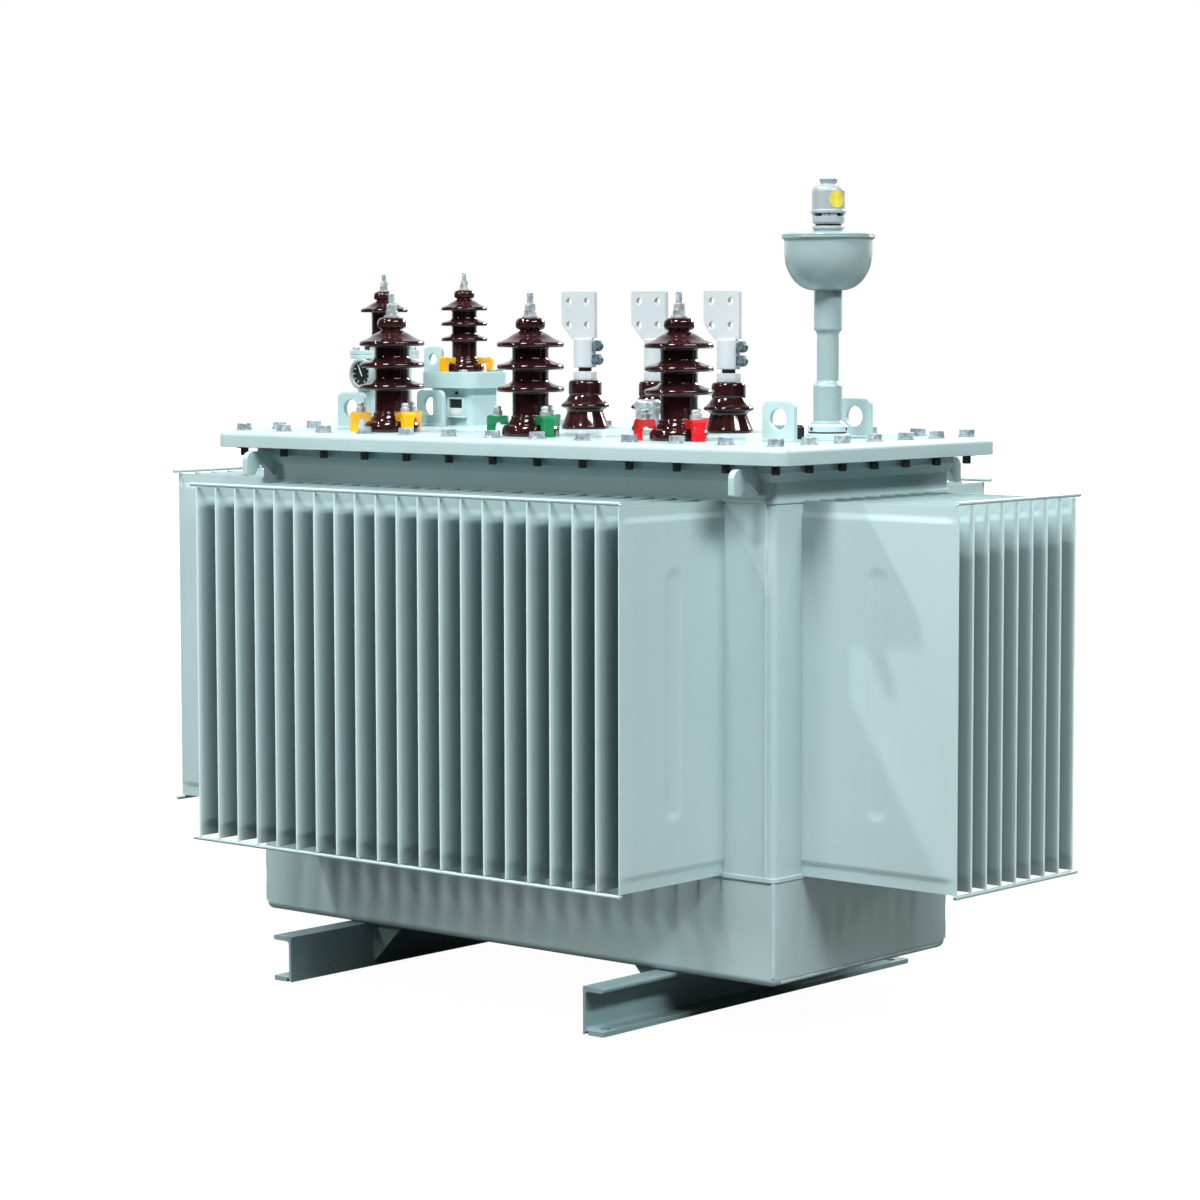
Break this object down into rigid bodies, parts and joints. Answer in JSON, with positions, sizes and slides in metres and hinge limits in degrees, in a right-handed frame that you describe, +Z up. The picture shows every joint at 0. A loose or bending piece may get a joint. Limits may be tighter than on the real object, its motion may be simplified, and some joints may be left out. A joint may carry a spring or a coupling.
{
  "type": "power transformer",
  "caption": "Oil-filled power transformer with a corrugated finned tank on skids, porcelain bushings, terminal flags, lifting lugs and an oil filling pipe with a relief valve on its cover.",
  "frame": {"origin": "centre of the footprint at the underside of the skids", "axes": "+Z up, +X along the long side, front with the high-voltage bushings towards -Y"},
  "size_m": [1.796, 1.009, 1.392],
  "materials": {
    "tank_paint": "semi-gloss grey-green paint",
    "valve_paint": "satin grey paint",
    "terminal_paint": "pale tinned grey",
    "porcelain": "dark brown gloss glaze",
    "plated_steel": "zinc plated",
    "clamp_yellow": "gloss yellow paint",
    "clamp_green": "gloss green paint",
    "clamp_red": "gloss red paint",
    "black_plastic": "black",
    "dial": "grey bezel with a dark face"
  },
  "bodies": {
    "root": {"back_fin_bank": "tank_paint", "back_tie_bars": "tank_paint", "bowl_lid": "tank_paint", "corner_posts": "tank_paint", "cover_lugs": "tank_paint", "cover_plate": "tank_paint", "cover_plug": "black_plastic", "filler_bowl": "tank_paint", "filler_flange": "tank_paint", "filler_pipe": "tank_paint", "front_fin_bank": "tank_paint", "front_tie_bars": "tank_paint", "gauge_dial": "dial", "gauge_pot": "tank_paint", "hv_bushing_left": "porcelain", "hv_bushing_middle": "porcelain", "hv_bushing_right": "porcelain", "hv_clamps_left": "clamp_yellow", "hv_clamps_middle": "clamp_green", "hv_clamps_right": "clamp_red", "hv_terminal_left": "plated_steel", "hv_terminal_middle": "plated_steel", "hv_terminal_right": "plated_steel", "left_fin_bank": "tank_paint", "left_tie_bars": "tank_paint", "lifting_hooks": "tank_paint", "lv_bushing_left": "porcelain", "lv_bushing_middle": "porcelain", "lv_bushing_right": "porcelain", "lv_flag_left": "terminal_paint", "lv_flag_middle": "terminal_paint", "lv_flag_right": "terminal_paint", "lv_stud_left": "plated_steel", "lv_stud_middle": "plated_steel", "lv_stud_right": "plated_steel", "neck_frame": "tank_paint", "relief_valve": "valve_paint", "right_fin_bank": "tank_paint", "right_tie_bars": "tank_paint", "skid_gussets": "tank_paint", "skid_left": "tank_paint", "skid_right": "tank_paint", "small_bushings": "porcelain", "small_terminals": "plated_steel", "tank_pan": "tank_paint", "thermometer_pocket": "plated_steel", "turret": "tank_paint", "turret_clamps": "clamp_yellow", "turret_plate": "tank_paint"}
  },
  "joints": []
}
